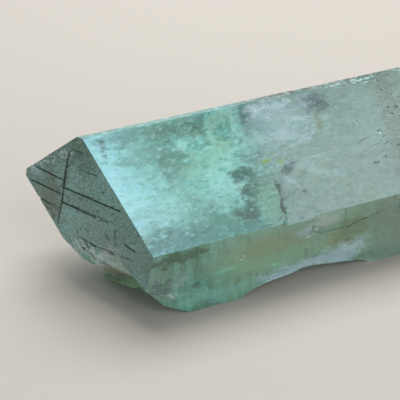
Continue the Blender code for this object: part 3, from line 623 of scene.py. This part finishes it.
    # Brown stain in the pitted band near the root; near-black specks there and on the end, dark pits on the end, and
    # etched groove walls darker the deeper they lie
    stain_line = calc("MULTIPLY_ADD", mottled, 10.0, along)
    stained = calc("MULTIPLY", calc("MULTIPLY", band(stain_line, 53.0, 56.5), band(stain_line, 62.0, 57.0)), main)
    colour = mix(calc("MULTIPLY", stained, 0.4), colour, linear(COLOURS["umber"]))
    specks = calc("MULTIPLY", band(fine, 0.57, 0.64), calc("MULTIPLY_ADD", end, 0.75, calc("MULTIPLY", stained, 0.9)))
    colour = mix(specks, colour, linear(settings.near_black))
    pits = calc("MULTIPLY", band(noise(0.9, 3.0, roughness=0.75), 0.62, 0.66), calc("MULTIPLY", end, 0.75))
    colour = mix(pits, colour, linear(settings.near_black))
    # Painted glints: white specks on all but the main face
    glints = calc("MULTIPLY", band(noise(0.5, 2.0, roughness=0.6), 0.66, 0.74), calc("SUBTRACT", 1.0, main))
    colour = mix(calc("MULTIPLY", glints, 0.6), colour, linear(COLOURS["white_and_glint"]))
    # Groove walls on the end face darker the deeper they lie below it
    colour = mix(calc("MULTIPLY", hollow, 0.95), colour, linear(settings.near_black))

    glassy = calc("MINIMUM", calc("ADD", calc("ADD", main, side), calc("ADD", strip, away)), 1.0)
    frosted = calc("MAXIMUM", calc("SUBTRACT", 1.0, glassy), calc("MULTIPLY", strip, 0.8))
    roughness = calc("MULTIPLY_ADD", frosted, 0.30, calc("MULTIPLY_ADD", band(mottled, 0.3, 0.7), 0.16, 0.14))
    bump = add(tree, "ShaderNodeBump", {
        "Strength": calc("MULTIPLY_ADD", frosted, 0.5, 0.25), "Distance": 0.08 * MM,
        "Height": calc("MULTIPLY_ADD", noise(0.2, 2.0), 0.5, fine)}).outputs[0]
    shader = add(tree, "ShaderNodeBsdfPrincipled", {
        "Base Color": colour, "Roughness": roughness, "Normal": bump, "IOR": 1.66,
        "Transmission Weight": settings.transmission})
    absorb = add(tree, "ShaderNodeVolumeAbsorption",
                 {"Color": linear(settings.depth_green), "Density": settings.absorption})
    add(tree, "ShaderNodeOutputMaterial", {"Surface": shader.outputs[0], "Volume": absorb.outputs[0]})
    return material


def hue(name, description, value):
    return bpy.props.StringProperty(name=name, description=description + ", as sRGB hex", default=value)


class HiddeniteCrystalSettings(bpy.types.PropertyGroup):
    finest_edge: bpy.props.FloatProperty(
        name="Finest edge", description="Length of the triangles that carry the relief",
        default=0.5 * MM, subtype="DISTANCE", unit="LENGTH")
    arris_angle: bpy.props.FloatProperty(
        name="Arris angle", description="Edges that turn more than this stay crisp",
        default=math.radians(28), subtype="ANGLE", unit="ROTATION")
    break_relief: bpy.props.FloatProperty(
        name="Break relief", description="Height of the lumps on the broken surfaces",
        default=0.9 * MM, subtype="DISTANCE", unit="LENGTH")
    etch_relief: bpy.props.FloatProperty(
        name="Etch relief", description="Depth of the pits on the etched end face",
        default=0.4 * MM, subtype="DISTANCE", unit="LENGTH")
    growth_ripple: bpy.props.FloatProperty(
        name="Growth ripple", description="Height of the ripples on the glassy growth faces",
        default=0.09 * MM, subtype="DISTANCE", unit="LENGTH")
    transmission: bpy.props.FloatProperty(
        name="Transmission", description="How much of the light goes through the stone",
        default=0.5, min=0.0, max=1.0, subtype="FACTOR")
    absorption: bpy.props.FloatProperty(
        name="Absorption", description="How fast the stone takes light, for each metre", default=60.0)
    # Painted glare: strength of the milky band beside the end face
    painted_glare: bpy.props.FloatProperty(
        name="Glow", description="Strength of the milky band beside the end face", default=0.95)
    depth_green: hue("Depth green", "Tint of light that has gone through the stone", "#9fd8c6")
    turquoise: hue("Turquoise", "Milky blue-green of the main face", "#7fd8d3")
    grey_green: hue("Grey green", "Clearer stone between the veils", "#5c9f92")
    veil: hue("Veil", "Palest veils inside the stone", "#a3ebe6")
    # Painted glare: colour of the milky band beside the end face
    painted_glare_white: hue("Glow white", "Milky band beside the end face", "#a0edfc")
    root_grey: hue("Root grey", "Pale grey stone towards the root", "#8fadaa")
    root_green: hue("Root green", "Pale green stone towards the root", "#8daea1")
    root_veil: hue("Root veil", "Palest veils towards the root", "#a9cccf")
    flank_green: hue("Flank green", "Side face near the end face", "#78ab90")
    flank_olive: hue("Flank olive", "Side face along its middle", "#9bc5a8")
    flank_grey: hue("Flank grey", "Side face near the root", "#98a796")
    flank_dark: hue("Flank dark", "Dark combs on the side face", "#567a67")
    break_pale: hue("Break pale", "Frosted broken surface", "#a9c7ba")
    strip_white: hue("Strip white", "Bright strip along the ridge", "#74a29c")
    strip_grey: hue("Strip grey", "Ridge towards the root", "#4a5854")
    etched_dark: hue("Etched dark", "Etched end face, in its pits", "#6d9591")
    etched_light: hue("Etched light", "Etched end face, on its grains", "#aed4d1")
    etched_green: hue("Etched green", "Greener patches of the etched end face", "#6f8669")
    # Near-black of the etched lines, specks and pits, and of the groove walls by their depth
    near_black: hue("Soil", "Dark soil left in the etched lines and pits", "#1d2019")


class HiddeniteStageSettings(bpy.types.PropertyGroup):
    floor_colour: hue("Floor colour", "Plain pale floor", "#a39d95")
    floor_width: bpy.props.FloatProperty(
        name="Floor width", description="Side of the square floor", default=1.6, subtype="DISTANCE", unit="LENGTH")
    key_power: bpy.props.FloatProperty(
        name="Key power", description="Power of the soft light above and behind, in watts", default=3.0)
    fill_power: bpy.props.FloatProperty(
        name="Fill power", description="Power of the weak light in front, in watts", default=0.5)
    window_power: bpy.props.FloatProperty(
        name="Window power", description="Power of the light mirrored in the main face, in watts", default=0.085)
    focal_length: bpy.props.FloatProperty(
        name="Focal length", description="Lens of the camera, in millimetres", default=77.957)
    distance: bpy.props.FloatProperty(
        name="Distance", description="From the camera to what it looks at",
        default=138.252 * MM, subtype="DISTANCE", unit="LENGTH")
    azimuth: bpy.props.FloatProperty(
        name="Azimuth", description="How far the camera stands to the left of the front",
        default=math.radians(19.906), subtype="ANGLE", unit="ROTATION")
    elevation: bpy.props.FloatProperty(
        name="Elevation", description="How far the camera looks down",
        default=math.radians(42.292), subtype="ANGLE", unit="ROTATION")


class HIDDENITE_OT_crystal(bpy.types.Operator):
    """Build the crystal's finished surface in place of its solid"""
    bl_idname = "hiddenite.crystal"
    bl_label = "Build the crystal"

    def execute(self, context):
        settings = context.scene.hiddenite_crystal
        mesh = crystal_mesh(settings)
        carrier = bpy.data.objects.new("crystal_carrier", mesh)
        context.scene.collection.objects.link(carrier)
        relief = carrier.modifiers.new("relief", "NODES")
        relief.node_group = relief_tree(settings)
        sockets = {item.name: item.identifier for item in relief.node_group.interface.items_tree
                   if item.in_out == "INPUT"}
        relief[sockets["Material"]] = spodumene(settings)
        context.view_layer.update()
        finished = bpy.data.meshes.new_from_object(carrier.evaluated_get(context.evaluated_depsgraph_get()))
        bpy.data.objects.remove(carrier)
        crystal = bpy.data.objects.new("hiddenite_crystal", finished)
        context.scene.collection.objects.link(crystal)
        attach(crystal, "root")
        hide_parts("crystal")
        return {"FINISHED"}


class HIDDENITE_OT_stage(bpy.types.Operator):
    """Lay the plain floor and set the soft light and the camera"""
    bl_idname = "hiddenite.stage"
    bl_label = "Set the stage"

    def execute(self, context):
        settings = context.scene.hiddenite_stage
        scene = context.scene
        half = settings.floor_width / 2
        mesh = bpy.data.meshes.new("floor")
        mesh.from_pydata([(-half, -half, 0), (half, -half, 0), (half, half, 0), (-half, half, 0)], [], [(0, 1, 2, 3)])
        floor = bpy.data.objects.new("floor", mesh)
        scene.collection.objects.link(floor)
        paint = bpy.data.materials.new("matt_floor_paint")
        paint.use_nodes = True
        shader = paint.node_tree.nodes["Principled BSDF"]
        shader.inputs["Base Color"].default_value = linear(settings.floor_colour)
        shader.inputs["Roughness"].default_value = 0.8
        mesh.materials.append(paint)

        world = bpy.data.worlds.new("soft_room")
        scene.world = world
        world.use_nodes = True
        world.node_tree.nodes["Background"].inputs["Color"].default_value = linear("#dfe6ea")
        world.node_tree.nodes["Background"].inputs["Strength"].default_value = 0.6

        middle = (CRYSTAL_LOW + CRYSTAL_HIGH) / 2
        for name, place, size, power in (
                ("key_light", Vector((0.08, 0.20, 0.40)), 0.26, settings.key_power),
                ("window_light", Vector((0.016, -0.180, 0.313)), 0.07, settings.window_power),
                ("fill_light", Vector((0.25, -0.30, 0.30)), 0.30, settings.fill_power)):
            lamp = bpy.data.lights.new(name, "AREA")
            lamp.energy = power
            lamp.size = size
            light = bpy.data.objects.new(name, lamp)
            light.location = place
            light.rotation_euler = (middle - place).to_track_quat("-Z", "Y").to_euler()
            scene.collection.objects.link(light)

        lens = bpy.data.cameras.new("camera")
        lens.lens = settings.focal_length
        lens.clip_start = 0.01
        camera = bpy.data.objects.new("camera", lens)
        backward = Vector((-math.sin(settings.azimuth) * math.cos(settings.elevation),
                           -math.cos(settings.azimuth) * math.cos(settings.elevation),
                           math.sin(settings.elevation)))
        camera.location = LOOK_AT * MM + backward * settings.distance
        camera.rotation_euler = (-backward).to_track_quat("-Z", "Y").to_euler()
        scene.collection.objects.link(camera)
        scene.camera = camera
        scene.view_settings.view_transform = "Standard"
        return {"FINISHED"}


class HIDDENITE_PT_sidebar(bpy.types.Panel):
    bl_label = "Hiddenite crystal"
    bl_space_type = "VIEW_3D"
    bl_region_type = "UI"
    bl_category = "Hiddenite"

    def draw(self, context):
        for settings, operator in ((context.scene.hiddenite_crystal, "hiddenite.crystal"),
                                   (context.scene.hiddenite_stage, "hiddenite.stage")):
            box = self.layout.box()
            for name in settings.__annotations__:
                box.prop(settings, name)
            box.operator(operator)


CLASSES = (HiddeniteCrystalSettings, HiddeniteStageSettings, HIDDENITE_OT_crystal, HIDDENITE_OT_stage,
           HIDDENITE_PT_sidebar)


def register():
    for item in CLASSES:
        bpy.utils.register_class(item)
    bpy.types.Scene.hiddenite_crystal = bpy.props.PointerProperty(type=HiddeniteCrystalSettings)
    bpy.types.Scene.hiddenite_stage = bpy.props.PointerProperty(type=HiddeniteStageSettings)


def unregister():
    del bpy.types.Scene.hiddenite_stage
    del bpy.types.Scene.hiddenite_crystal
    for item in reversed(CLASSES):
        bpy.utils.unregister_class(item)


def main():
    register()
    bpy.ops.hiddenite.stage()
    bpy.ops.hiddenite.crystal()
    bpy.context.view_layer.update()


if __name__ == "__main__":
    main()
